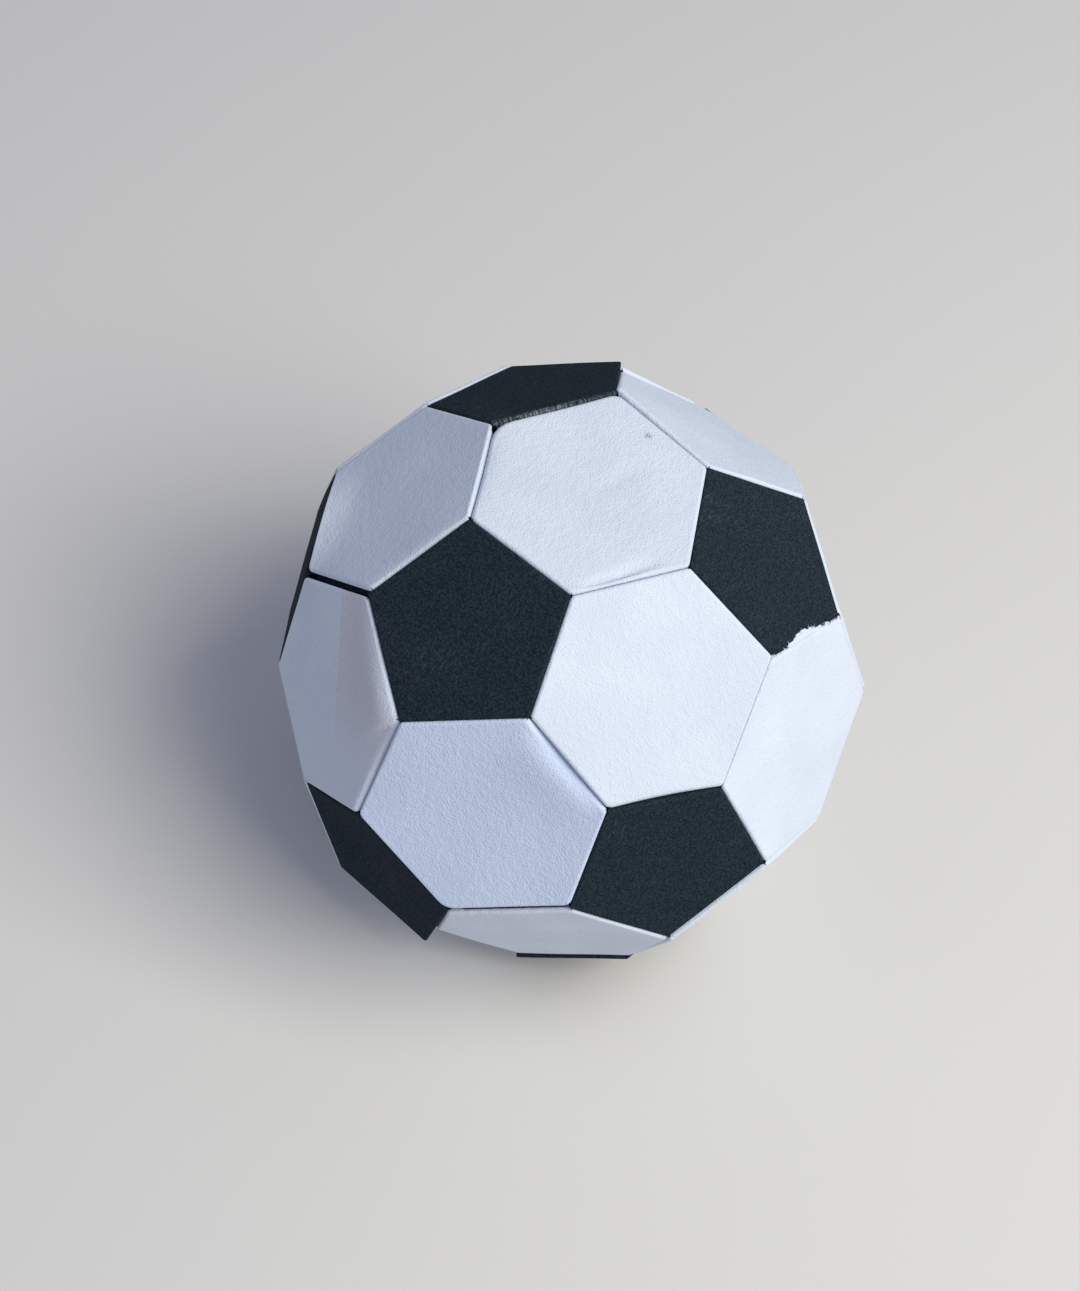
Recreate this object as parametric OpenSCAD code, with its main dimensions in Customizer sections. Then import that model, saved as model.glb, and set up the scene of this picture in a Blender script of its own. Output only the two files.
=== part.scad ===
// Paper ball of thirty-two folded units: twelve black pentagons and twenty white hexagons.
// Together they close a truncated icosahedron that stands on one of its hexagons.
// Every unit is one sheet: a flat face whose edges turn inwards, round a fold, into glue flaps.
// Along each seam the flaps of two neighbours lie back to back on the plane that halves the seam's angle.

/* [Ball] */
// Edge length of the ball, between the sharp corners that its faces would have
edge = 20; // [12:0.5:40]
// Film of glue between two flaps that meet
glue_film = 0.1; // [0.05:0.05:0.3]

/* [White hexagon units] */
// Thickness of the white paper
white_paper = 0.2; // [0.1:0.05:0.4]
// Outside radius of a fold in the white paper
white_fold_r = 0.9; // [0.5:0.1:1.4]
// Depth of a white flap below its fold
white_flap = 6; // [2:0.5:8]

/* [Black pentagon units] */
// Thickness of the black paper
black_paper = 0.25; // [0.1:0.05:0.4]
// Outside radius of a fold in the black paper
black_fold_r = 0.5; // [0.5:0.1:1.4]
// Depth of a black flap below its fold
black_flap = 5; // [2:0.5:8]

/* [Corners] */
// Width of the snip that parts two neighbouring flaps of a unit
snip = 0.2; // [0.1:0.05:0.6]
// Angle by which the ends of a flap are trimmed back, from square to its fold
flap_trim = 25; // [15:1:35]

/* [Hidden] */
white = [0.93, 0.94, 0.97];
black = [0.10, 0.11, 0.12];
// Flats that make up one fold
fold_steps = 8;
// Width of the strip that a folded edge and its face have in common
lap = snip;
// A length that passes right across any unit
reach = 3 * edge;
golden = (1 + sqrt(5)) / 2;

// Corners of the icosahedron whose tips are cut off: each cut leaves a pentagon
tips = [for (a = [-1, 1], b = [-golden, golden]) each [[0, a, b], [a, b, 0], [b, 0, a]]];
tip_spacing = 2;
last_tip = len(tips) - 1;
// Whether two tips share an edge: the next ones are a golden ratio further apart
function joined(i, j) = i != j && norm(tips[i] - tips[j]) < tip_spacing * (1 + golden) / 2;

// Triangles of the icosahedron: each one keeps a hexagon
triangles = [for (i = [0:last_tip], j = [i + 1:1:last_tip], k = [j + 1:1:last_tip])
    if (joined(i, j) && joined(j, k) && joined(i, k)) [i, j, k]];
first_neighbour = [for (i = [0:last_tip]) [for (j = [0:last_tip]) if (joined(i, j)) j][0]];

// Distances of the faces from the ball's centre, and the angles between faces
hexagon_distance = edge / 2 * sqrt(1.5 * (7 + 3 * sqrt(5)));
pentagon_distance = edge / 2 * sqrt((125 + 41 * sqrt(5)) / 10);
hexagon_to_hexagon = acos(-sqrt(5) / 3);
hexagon_to_pentagon = acos(-sqrt((5 + 2 * sqrt(5)) / 15));

// The ball stands with the hexagon between three tips on top, and the first of those tips to the front
top_tips = [0, 2, 6];
up = unit(tips[top_tips[0]] + tips[top_tips[1]] + tips[top_tips[2]]);
front = across(tips[top_tips[0]], up);

PENTAGONS = [for (i = [1:len(tips)]) str("black_pentagon_", two_digits(i))];
HEXAGONS = [for (i = [1:len(triangles)]) str("white_hexagon_", two_digits(i))];

function two_digits(i) = str(i < 10 ? "0" : "", i);
function unit(v) = v / norm(v);
// Direction of the part of v that lies square to n
function across(v, n) = unit(v - n * (v * n));
// Point p of the icosahedron's own axes, in the standing ball's axes: +Z up, and the front towards -Y
function stand(p) = [p * cross(up, front), -p * front, p * up];

// Places a unit drawn round the Z axis, outside face upwards, on the face that looks along n.
// The first edge of the unit then lies towards u.
module on_face(n, u, distance) {
    v = cross(n, u);
    translate([0, 0, hexagon_distance])
        multmatrix([
            [u.x, v.x, n.x, n.x * distance],
            [u.y, v.y, n.y, n.y * distance],
            [u.z, v.z, n.z, n.z * distance]
        ])
            children();
}

// Distance from a face's middle to where a flap's outer side would cut the face's plane
function flap_line(sides, half_angle) =
    edge / 2 / tan(180 / sides) - glue_film / 2 / sin(half_angle);
// Distance from a face's middle to the line where the paper starts to turn
function fold_line(sides, half_angle, fold_r) = flap_line(sides, half_angle) - fold_r / tan(half_angle / 2);

// Points along the turn of the paper at radius r: from the face round to the flap
function turn(r, half_angle) =
    [for (s = [0:fold_steps]) let (a = s * (180 - half_angle) / fold_steps) r * [sin(a), cos(a)]];
// Direction in which a flap leads away from its fold, in the same section
function flap_way(half_angle) = [-cos(half_angle), -sin(half_angle)];

// Section of the paper across one edge, from the fold line's middle: lap under the face, turn and flap
module section(half_angle, paper, fold_r, depth) {
    outside = turn(fold_r, half_angle);
    inside = turn(fold_r - paper, half_angle);
    polygon([
        [-lap, fold_r],
        each outside,
        outside[fold_steps] + depth * flap_way(half_angle),
        inside[fold_steps] + depth * flap_way(half_angle),
        each [for (s = [fold_steps:-1:0]) inside[s]],
        [-lap, fold_r - paper]
    ]);
}

// Slice of a unit that belongs to one edge, seen from above, drawn back from its neighbours by half a snip
module slice(sides) {
    half = 180 / sides;
    start = snip / 2 / sin(half);
    rise = (reach - start) * tan(half);
    polygon([[start, 0], [reach, rise], [reach, -rise]]);
}

// Outline of a flap, square on to it: full width down to its fold, and trimmed back below
module flap_outline(root_half, depth) {
    tip_half = root_half - depth * tan(flap_trim);
    polygon([
        [-reach, -reach], [0, -reach], [0, -root_half], [depth, -tip_half],
        [depth, tip_half], [0, root_half], [0, reach], [-reach, reach]
    ]);
}

// Folded edge of a unit: the lap under the face, the turn and the glue flap, cut clear of the next edges
module folded_edge(sides, half_angle, paper, fold_r, depth) {
    line = fold_line(sides, half_angle, fold_r);
    root = [line + fold_r * sin(half_angle), -fold_r - fold_r * cos(half_angle)];
    intersection() {
        translate([line, 0, -fold_r])
            rotate([90, 0, 0])
                linear_extrude(2 * reach, center = true)
                    section(half_angle, paper, fold_r, depth);
        translate([0, 0, -reach])
            linear_extrude(2 * reach)
                slice(sides);
        translate([root.x, 0, root.y])
            rotate([0, 180 - half_angle, 0])
                linear_extrude(2 * reach, center = true)
                    flap_outline(root.x * tan(180 / sides) - snip / 2 / cos(180 / sides), depth + lap);
    }
}

// Flat face of a unit, which ends on the laps of its folded edges
module face(half_angles, paper, fold_r) {
    sides = len(half_angles);
    translate([0, 0, -paper])
        linear_extrude(paper)
            intersection_for (i = [0:sides - 1])
                rotate(i * 360 / sides)
                    translate([-reach, -reach])
                        square([reach + fold_line(sides, half_angles[i], fold_r) - lap / 2, 2 * reach]);
}

// One folded sheet, round the Z axis with its outside face on the plane z = 0.
// half_angles gives half the angle of each seam in turn.
module folded_unit(half_angles, paper, fold_r, depth) {
    sides = len(half_angles);
    face(half_angles, paper, fold_r);
    for (i = [0:sides - 1])
        rotate(i * 360 / sides)
            folded_edge(sides, half_angles[i], paper, fold_r, depth);
}

// Black unit on the i-th tip: all five of its seams run along hexagons
module black_pentagon(i) {
    n = unit(stand(tips[i]));
    u = -across(stand(tips[first_neighbour[i]]), n);
    color(black)
        on_face(n, u, pentagon_distance)
            folded_unit([for (s = [1:5]) hexagon_to_pentagon / 2], black_paper, black_fold_r, black_flap);
}

// White unit on the i-th triangle: its seams run along pentagons and hexagons in turn
module white_hexagon(i) {
    corners = [for (t = triangles[i]) stand(tips[t])];
    n = unit(corners[0] + corners[1] + corners[2]);
    color(white)
        on_face(n, across(corners[0], n), hexagon_distance)
            folded_unit(
                [for (s = [1:3]) each [hexagon_to_pentagon / 2, hexagon_to_hexagon / 2]],
                white_paper, white_fold_r, white_flap
            );
}

for (i = [0:last_tip])
    black_pentagon(i);
for (i = [0:len(triangles) - 1])
    white_hexagon(i);
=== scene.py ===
"""Dresses the folded paper ball: handmade white hexagons and black pentagons on a plain stage.

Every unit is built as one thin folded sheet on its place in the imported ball. Its corners are then drawn to
where the photograph shows them, so the ball keeps its handmade look. Lengths are in metres unless a name or a
comment says otherwise.
"""

import math

import bpy
import numpy as np
from mathutils import Matrix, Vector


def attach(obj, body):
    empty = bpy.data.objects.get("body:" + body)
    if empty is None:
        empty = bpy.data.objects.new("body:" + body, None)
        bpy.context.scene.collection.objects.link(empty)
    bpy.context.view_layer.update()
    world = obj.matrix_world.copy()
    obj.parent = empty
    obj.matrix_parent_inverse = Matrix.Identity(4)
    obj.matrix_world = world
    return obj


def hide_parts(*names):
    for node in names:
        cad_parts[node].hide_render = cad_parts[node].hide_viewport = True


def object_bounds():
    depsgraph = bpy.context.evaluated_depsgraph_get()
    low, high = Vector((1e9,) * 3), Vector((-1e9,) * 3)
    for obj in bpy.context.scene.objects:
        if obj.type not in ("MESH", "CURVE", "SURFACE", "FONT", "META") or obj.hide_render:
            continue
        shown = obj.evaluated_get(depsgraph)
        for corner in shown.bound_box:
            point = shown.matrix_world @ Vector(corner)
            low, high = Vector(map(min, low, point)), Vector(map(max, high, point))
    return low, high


bl_info = {
    "name": "Folded paper ball",
    "version": (1, 0, 0),
    "blender": (4, 5, 0),
    "location": "View3D > Sidebar > Paper ball",
    "description": "Dresses a ball of folded pentagons and hexagons as handmade paper",
    "category": "Object",
}

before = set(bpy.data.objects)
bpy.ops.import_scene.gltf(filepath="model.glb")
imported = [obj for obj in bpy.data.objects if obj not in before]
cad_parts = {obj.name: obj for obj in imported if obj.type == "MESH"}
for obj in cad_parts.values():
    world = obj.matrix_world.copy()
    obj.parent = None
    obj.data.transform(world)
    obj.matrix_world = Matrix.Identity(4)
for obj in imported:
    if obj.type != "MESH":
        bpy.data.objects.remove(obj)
CAD_LOW, CAD_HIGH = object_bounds()

MM = 0.001
BODY = "root"

# The ball: opposite hexagons are a fixed number of edge lengths apart
HEIGHT_IN_EDGES = math.sqrt(1.5 * (7 + 3 * math.sqrt(5)))
EDGE = (CAD_HIGH.z - CAD_LOW.z) / HEIGHT_IN_EDGES
CENTRE = np.array((0.0, 0.0, (CAD_LOW.z + CAD_HIGH.z) / 2))
# Tips of the icosahedron that the ball is cut from: its edges are three of the ball's edges long
TIP_RADIUS = 3 * EDGE * math.sin(math.radians(72))
# Cosines that tell neighbours apart from the rest: pentagon to pentagon, and hexagon to pentagon
NEXT_PENTAGON = 0.4
NEXT_HEXAGON = 0.7

# Fineness of a sheet's mesh: steps along a side and round a corner, and how many both make
SIDE_STEPS = 22
CORNER_STEPS = 4
PER_SIDE = SIDE_STEPS + CORNER_STEPS
FACE_RINGS = 16
FOLD_STEPS = 8
FLAP_ROWS = 3

# Units by where the photograph shows them. A unit's key is its pentagon's number, or the numbers of the three
# pentagons round its hexagon.
BLACK_MIDDLE = (1,)
BLACK_LOW_RIGHT = (2,)
BLACK_RIGHT = (3,)
BLACK_LOWEST = (4,)
BLACK_UPPER_RIGHT = (5,)
BLACK_LEFT = (6,)
BLACK_TOP = (7,)
BLACK_LOW_LEFT = (8,)
BLACK_FAR_RIGHT = (9,)
WHITE_TOP = (1, 3, 7)
WHITE_RIGHT = (1, 2, 3)
WHITE_BOTTOM = (1, 2, 8)
WHITE_LEFT = (1, 6, 8)
WHITE_UPPER_LEFT = (1, 6, 7)
WHITE_FAR_RIGHT = (2, 3, 9)
WHITE_LOWEST = (2, 4, 8)
WHITE_LOW_RIGHT = (2, 4, 9)
WHITE_FAR_UPPER_RIGHT = (3, 5, 7)
WHITE_BEHIND_TOP = (5, 7, 11)
WHITE_FAR_UPPER_LEFT = (6, 7, 11)

# Where the photograph shows the corners of the ball, in its pixels. A corner is named by the pentagon that it
# belongs to and the pentagon that it points at.
CORNERS_SEEN = {
    (1, 7): (468, 517), (1, 3): (571, 595), (1, 2): (529, 719), (1, 8): (397, 723), (1, 6): (365, 593),
    (7, 1): (492, 422), (3, 1): (691, 566), (2, 1): (608, 812), (8, 1): (355, 815), (6, 1): (304, 573),
    (7, 3): (618, 390), (3, 7): (709, 465), (3, 2): (774, 655), (2, 3): (723, 789), (2, 8): (569, 911),
    (8, 2): (446, 914), (8, 6): (304, 783), (6, 8): (277, 663), (6, 7): (334, 471), (7, 6): (426, 404),
    (7, 5): (622, 370), (7, 11): (511, 364), (3, 5): (806, 497), (3, 9): (841, 613), (2, 9): (767, 864),
    (2, 4): (669, 940), (8, 4): (435, 930), (5, 7): (704, 407), (5, 3): (793, 465), (5, 9): (816, 545),
    (9, 5): (851, 652), (9, 3): (866, 690), (9, 2): (820, 819), (6, 11): (317, 507), (6, 12): (288, 613),
    (8, 12): (339, 868), (4, 8): (517, 954), (4, 2): (633, 956),
}
# Corners of single units that stand proud of their neighbours, or hide behind them
PROUD_CORNERS = {
    BLACK_LOWEST: {(4, 8): (515, 960), (4, 2): (628, 962)},
    BLACK_UPPER_RIGHT: {(5, 7): (706, 405), (5, 3): (789, 472)},
    BLACK_TOP: {(7, 5): (622, 359)},
    BLACK_LOW_LEFT: {(8, 4): (425, 944)},
    BLACK_FAR_RIGHT: {(9, 3): (858, 692), (9, 2): (813, 816)},
    WHITE_LOW_RIGHT: {(2, 9): (769, 866), (2, 4): (670, 943)},
    WHITE_FAR_UPPER_RIGHT: {(7, 3): (617, 386), (7, 5): (620, 369)},
    WHITE_BEHIND_TOP: {(7, 5): (623, 365), (5, 7): (697, 401)},
    WHITE_FAR_UPPER_LEFT: {(6, 7): (333, 469), (7, 6): (425, 402), (7, 11): (510, 362)},
}
# Corners that are rounder than the rest, by the unit and the corner
ROUND_CORNERS = {
    (WHITE_TOP, (7, 1)): 3.0 * MM,
    (WHITE_TOP, (7, 3)): 1.4 * MM,
    (WHITE_UPPER_LEFT, (7, 1)): 0.9 * MM,
    (WHITE_TOP, (1, 7)): 0.8 * MM,
    (WHITE_BOTTOM, (8, 2)): 1.6 * MM,
    (WHITE_BOTTOM, (2, 8)): 0.9 * MM,
    (WHITE_BOTTOM, (8, 1)): 0.9 * MM,
    (WHITE_LEFT, (1, 6)): 0.8 * MM,
    (WHITE_UPPER_LEFT, (1, 6)): 0.8 * MM,
    (WHITE_UPPER_LEFT, (6, 1)): 0.8 * MM,
    (WHITE_RIGHT, (2, 1)): 1.0 * MM,
}

# Seams that gape, by their two units
GAPING_SEAMS = {
    (WHITE_UPPER_LEFT, WHITE_LEFT): 1.0 * MM,
    (WHITE_UPPER_LEFT, BLACK_LEFT): 0.6 * MM,
    (WHITE_TOP, WHITE_UPPER_LEFT): 0.15 * MM,
    (WHITE_TOP, WHITE_FAR_UPPER_RIGHT): 0.4 * MM,
    (WHITE_LEFT, WHITE_BOTTOM): 0.25 * MM,
    (WHITE_BOTTOM, WHITE_LOWEST): 1.0 * MM,
    (WHITE_RIGHT, WHITE_BOTTOM): 0.2 * MM,
}
# Folds that are softer or sharper than the rest, by the unit and its neighbour
FOLD_RADII = {
    (WHITE_TOP, WHITE_UPPER_LEFT): 0.7 * MM,
    (WHITE_TOP, BLACK_TOP): 0.8 * MM,
    (WHITE_UPPER_LEFT, WHITE_TOP): 0.35 * MM,
    (WHITE_LEFT, BLACK_MIDDLE): 0.8 * MM,
    (WHITE_LEFT, WHITE_BOTTOM): 0.9 * MM,
    (WHITE_LOWEST, WHITE_BOTTOM): 0.6 * MM,
    (WHITE_BOTTOM, WHITE_RIGHT): 0.7 * MM,
    (WHITE_RIGHT, WHITE_FAR_RIGHT): 0.35 * MM,
    (WHITE_FAR_RIGHT, WHITE_RIGHT): 0.35 * MM,
    (WHITE_FAR_RIGHT, BLACK_RIGHT): 0.9 * MM,
    (WHITE_RIGHT, BLACK_LOW_RIGHT): 0.8 * MM,
}
# Sides where the face swells and then bends down softly before its fold, by the unit and its neighbour: the
# width, the drop, the rise of the swelling, and the share of the side's length at which both are greatest
SHOULDERS = {
    (WHITE_BOTTOM, WHITE_RIGHT): (4.0 * MM, 1.50 * MM, 0.4 * MM, 0.5),
    (WHITE_TOP, WHITE_UPPER_LEFT): (3.2 * MM, 0.55 * MM, 0.0, 0.5),
    (WHITE_TOP, BLACK_TOP): (2.0 * MM, 0.30 * MM, 0.0, 0.5),
    (WHITE_LEFT, BLACK_MIDDLE): (4.2 * MM, 0.0, 1.5 * MM, 0.18),
    (WHITE_LEFT, WHITE_BOTTOM): (2.6 * MM, 0.60 * MM, 0.0, 0.7),
    (WHITE_UPPER_LEFT, BLACK_MIDDLE): (2.2 * MM, 0.50 * MM, 0.0, 0.5),
    (WHITE_RIGHT, BLACK_LOW_RIGHT): (2.2 * MM, 0.75 * MM, 0.0, 0.5),
}
# Sides that curl up, by the unit and its neighbour: the width of the curl, and how far the side rises
CURLED_SIDES = {(WHITE_UPPER_LEFT, BLACK_LEFT): (8.0 * MM, 1.5 * MM)}
# Powers that shape a curl: how late it bends up on its way to the side, and how fully it rises near its ends
CURL_BEND = 1.5
CURL_ENDS = 0.7
# Lengths of the soft waves in a face
WAVE_LENGTHS = (14 * MM, 21 * MM, 33 * MM)
# Soft dents: the unit, the two ends in the photograph's pixels, the depth and the half width
DENTS = (
    (WHITE_TOP, (580, 583), (655, 560), 0.60 * MM, 0.8 * MM),
    (WHITE_TOP, (612, 574), (630, 567), 0.20 * MM, 0.6 * MM),
    (WHITE_TOP, (590, 492), (640, 470), 0.20 * MM, 1.6 * MM),
    (WHITE_BOTTOM, (370, 815), (600, 812), 0.50 * MM, 9.0 * MM),
)
# A dent is fully deep over its middle two fifths, and runs out a fifth of its length beyond each end
DENT_HOLD = 1.4
# Sharp creases: the unit, the two ends in the photograph's pixels, the drop on their right and its width. The
# paper on their right gets painted shade
CREASES = (
    (WHITE_LEFT, (343, 586), (338, 765), 0.30 * MM, 4.0 * MM),
)
# Width over which the painted shade beyond a crease fades in
CREASE_SHADE_EDGE = 0.2 * MM
# Small grey marks on the white paper, one of them painted shade in a small nick: the unit, the place in the
# photograph's pixels and the radius
MARKS_AND_NICK_SHADE = (
    (WHITE_TOP, (650, 437), 0.85 * MM),
    # Painted shade in a small nick by the seam with the right hexagon
    (WHITE_TOP, (632, 577), 0.45 * MM),
    (WHITE_LEFT, (340, 690), 0.22 * MM),
    (WHITE_FAR_RIGHT, (790, 730), 0.18 * MM),
)
# Share of a mark's radius within which it is darkest
MARK_CORE = 0.3
# The worn fold of one black unit, by the unit and its neighbour: the width of the wear, and the share of the
# fold's length at which it is worn most
WORN_FOLDS = {(BLACK_TOP, WHITE_TOP): (1.2 * MM, 0.38)}
# Wear is full over two thirds of its width, then fades over as much. Along the fold it fades to its least.
WEAR_ACROSS = 2
WEAR_FADE = 1.5
WEAR_ALONG = 1.25
LEAST_WEAR = 0.25
# The white unit that is coloured bluer than the rest
BLUEST_SHEET = WHITE_BOTTOM

# The torn edge of one black unit, by the unit and its neighbour, and the shares of its length that are torn
TORN_EDGE = (BLACK_RIGHT, WHITE_FAR_RIGHT)
TORN_FROM = 0.02
TORN_TO = 0.98
LIP_STEPS = 240
# Mean reach and raggedness of the torn lip, as shares of its full reach, and the spacings of its rags
LIP_MEAN = 0.6
LIP_RAGGED = 0.5
RAGGED_SPACINGS = (2.5 * MM, 0.8 * MM, 0.25 * MM)
# Heights of a torn skin: the tuck of its root, and its lie on its own unit, the seam and the white unit
SKIN_TUCK = 0.06 * MM
SKIN_ON_OWN = 0.01 * MM
SKIN_ON_SEAM = 0.02 * MM
SKIN_ON_WHITE = 0.06 * MM
# Least and greatest length, lean as a share of the seam's length, and rise of a loose fibre
FIBRE_LEAST = (0.1 * MM, -0.03, 0.0)
FIBRE_MOST = (0.7 * MM, 0.03, 0.15 * MM)
# Gaping seams at whose bottom a strip of black paper is put as painted shade, by their two units: the width
# of the strip, its depth below the seam, and the shares of the seam's length between which it lies
PAINTED_SHADE_GAPS = {
    (WHITE_UPPER_LEFT, WHITE_LEFT): (1.0 * MM, 2.20 * MM, 0.02, 0.98),
    (WHITE_BOTTOM, WHITE_LOWEST): (1.7 * MM, 0.85 * MM, 0.13, 0.97),
}

# Patterns in the paper: the size of their spots, their detail, and the values that become 0 and 1
WHITE_MOTTLING = (11 * MM, 3, 0.35, 0.65)
RAGGED_MARKS = (0.25 * MM, 2, 0.40, 0.60)
SCRATCH_STREAKS = (0.16 * MM, 3, 0.56, 0.74)
SCRATCHED_PATCHES = (9 * MM, 3, 0.50, 0.68)
WORN_STROKES = (0.35 * MM, 3, 0.38, 0.60)
DRY_PATCHES = (0.7 * MM, 4, 0.36, 0.54)
# Detail of the white tooth, size and detail of the white pulp, detail and mottling of the black tooth
WHITE_TOOTH_DETAIL = 4
PULP_IN_GRAINS = 4
PULP_DETAIL = 3
BLACK_TOOTH_DETAIL = 5
BLACK_MOTTLING = (0.40, 0.66)
# How scratches are drawn out along their run
SCRATCH_STRETCH = (1.0, 0.12, 0.12)
# Name of the mesh attribute that says how worn the paper is, and how strongly the painted shade beyond a
# crease shows
WEAR_AND_CREASE_SHADE = "wear_and_crease_shade"
# Layout of the shader nodes in the node editor
NODES_IN_ROW = 8
NODE_WIDTH = 200
NODE_HEIGHT = 300
# Distance from the camera at which things start to be drawn
NEAREST_DRAWN = 10 * MM


def length_property(name, description, default):
    """A length that a user can set."""
    return bpy.props.FloatProperty(name=name, description=description, unit="LENGTH", default=default)


def angle_property(name, description, degrees):
    """An angle that a user can set, with its default in degrees."""
    return bpy.props.FloatProperty(
        name=name, description=description, subtype="ANGLE", default=math.radians(degrees))


def factor_property(name, description, default):
    """A share or a strength that a user can set."""
    return bpy.props.FloatProperty(name=name, description=description, subtype="FACTOR", default=default)


def colour_property(name, description, default):
    """A colour that a user can set."""
    return bpy.props.FloatVectorProperty(
        name=name, description=description, subtype="COLOR", size=3, default=default)


class WhitePaper(bpy.types.PropertyGroup):
    """The white sheets."""

    colour: colour_property("Colour", "Colour of the white paper", (0.715, 0.78, 0.885))
    shade: colour_property("Shade", "Colour of its darker mottling", (0.675, 0.74, 0.85))
    bluest: colour_property("Bluest", "Colour of the bluest sheet", (0.685, 0.77, 0.96))
    bluest_shade: colour_property("Bluest shade", "Colour of that sheet's mottling", (0.655, 0.74, 0.935))
    # Painted shade on the paper beyond a sharp crease
    painted_crease_shade: colour_property("Creased", "Colour beyond a sharp crease", (0.67, 0.67, 0.74))
    # The marks' colour also paints the shade in a small nick
    mark: colour_property("Mark", "Colour of the small marks", (0.20, 0.21, 0.27))
    roughness: factor_property("Roughness", "Roughness of the paper's surface", 0.9)
    sheen: factor_property("Sheen", "Strength of the light that the surface mirrors", 0.25)
    grain: length_property("Grain", "Size of the grain of the paper", 0.32 * MM)
    tooth: factor_property("Tooth", "How strongly the paper's tooth shows", 1.0)
    tooth_height: length_property("Tooth height", "Height of the paper's tooth", 0.14 * MM)
    thickness: length_property("Thickness", "Thickness of the sheet", 0.2 * MM)
    fold_radius: length_property("Fold radius", "Outside radius of a fold", 0.55 * MM)
    flap_depth: length_property("Flap depth", "Depth of a glue flap below its fold", 6 * MM)
    corner_cut: length_property("Corner cut", "Length that a rounded corner takes off each side", 0.45 * MM)
    wave: length_property("Wave", "Height of the soft waves in a face", 0.035 * MM)
    lift: length_property("Lift", "How far the faces stand above their true place", 0.0)


class BlackPaper(bpy.types.PropertyGroup):
    """The black sheets."""

    colour: colour_property("Colour", "Colour of the black paper", (0.010, 0.018, 0.027))
    shade: colour_property("Shade", "Colour of its paler mottling", (0.029, 0.043, 0.054))
    fibre: colour_property("Fibre", "Colour of pale scratches and worn folds", (0.24, 0.28, 0.30))
    scratches: factor_property("Scratches", "How plainly the scratches show", 0.24)
    scratch_turn: bpy.props.FloatVectorProperty(
        name="Scratch turn", description="Direction of the scratches", subtype="EULER", size=3,
        default=(0.6, 0.4, 1.9))
    roughness: factor_property("Roughness", "Roughness of the paper's surface", 0.9)
    sheen: factor_property("Sheen", "Strength of the light that the surface mirrors", 0.05)
    grain: length_property("Grain", "Size of the grain of the paper", 0.35 * MM)
    tooth: factor_property("Tooth", "How strongly the paper's tooth shows", 0.8)
    tooth_height: length_property("Tooth height", "Height of the paper's tooth", 0.06 * MM)
    thickness: length_property("Thickness", "Thickness of the sheet", 0.25 * MM)
    fold_radius: length_property("Fold radius", "Outside radius of a fold", 0.4 * MM)
    flap_depth: length_property("Flap depth", "Depth of a glue flap below its fold", 5 * MM)
    corner_cut: length_property("Corner cut", "Length that a rounded corner takes off each side", 0.2 * MM)
    wave: length_property("Wave", "Height of the soft waves in a face", 0.03 * MM)
    lift: length_property("Lift", "How far the faces stand above their true place", -0.2 * MM)


class Handwork(bpy.types.PropertyGroup):
    """What the maker's hands left behind."""

    seam_gap: length_property("Seam gap", "Width of a seam that is well closed", 0.1 * MM)
    flap_trim: angle_property("Flap trim", "Angle by which the ends of a flap are trimmed", 25)
    stray: length_property("Stray", "How far the unseen corners stray from their true place", 0.35 * MM)
    lip: length_property("Lip", "How far the torn edge reaches over its neighbour", 0.25 * MM)
    bite: length_property("Bite", "Depth of the bite in the torn edge", 1.05 * MM)
    bite_place: factor_property("Bite place", "Place of the bite along the torn edge", 0.44)
    bite_spread: factor_property("Bite spread", "Spread of the bite along the torn edge", 0.2)
    torn_sink: length_property("Torn sink", "How far the black face lies below the torn skin", 0.2 * MM)
    lip_thickness: length_property("Lip thickness", "Thickness of the torn skin and of gap strips", 0.06 * MM)
    fibres: bpy.props.IntProperty(
        name="Fibres", description="Number of loose fibres on a torn skin", default=16)
    fibre_width: length_property("Fibre width", "Width of a loose fibre at its root", 0.09 * MM)
    seed: bpy.props.IntProperty(name="Seed", description="Start of the random draws", default=7)


class PhotoView(bpy.types.PropertyGroup):
    """The photograph's frame and its camera."""

    width: bpy.props.IntProperty(
        name="Width", description="Width of the photograph", subtype="PIXEL", default=1080)
    height: bpy.props.IntProperty(
        name="Height", description="Height of the photograph", subtype="PIXEL", default=1291)
    focal: bpy.props.FloatProperty(
        name="Focal length", description="Focal length in the photograph's pixels", subtype="PIXEL",
        default=2500)
    azimuth: angle_property("Azimuth", "Turn of the camera round the ball, from the front", 38.5)
    elevation: angle_property("Elevation", "Height of the camera above the horizon", 55)
    roll: angle_property("Roll", "Turn of the camera about its own line of sight", -5)
    place: bpy.props.FloatVectorProperty(
        name="Place", description="The ball's middle from the camera: right, down and forward",
        subtype="TRANSLATION", size=3, default=(5.6 * MM, 2.2 * MM, 419.3 * MM))


class Stage(bpy.types.PropertyGroup):
    """Lamp, sky and floor."""

    lamp_azimuth: angle_property("Lamp azimuth", "Side from which the lamp shines", 101)
    lamp_elevation: angle_property("Lamp elevation", "Height of the lamp above the horizon", 52)
    lamp_distance: length_property("Lamp distance", "Distance from the ball to the lamp", 0.9)
    lamp_size: length_property("Lamp size", "Side of the square lamp", 0.6)
    lamp_colour: colour_property("Lamp colour", "Colour of the lamp", (1.0, 0.985, 0.885))
    lamp_power: bpy.props.FloatProperty(
        name="Lamp power", description="Power of the lamp", unit="POWER", default=7.7)
    sky: colour_property("Sky", "Colour of the light from all round", (0.69, 0.76, 1.0))
    sky_strength: bpy.props.FloatProperty(
        name="Sky strength", description="Strength of the light from all round", default=0.375)
    floor: colour_property("Floor", "Colour of the floor", (0.72, 0.70, 0.675))
    floor_roughness: factor_property("Floor roughness", "Roughness of the floor", 0.9)
    floor_size: length_property("Floor size", "Side of the square floor", 6.0)


def unit_vector(v):
    """The direction of v."""
    return v / np.linalg.norm(v)


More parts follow.
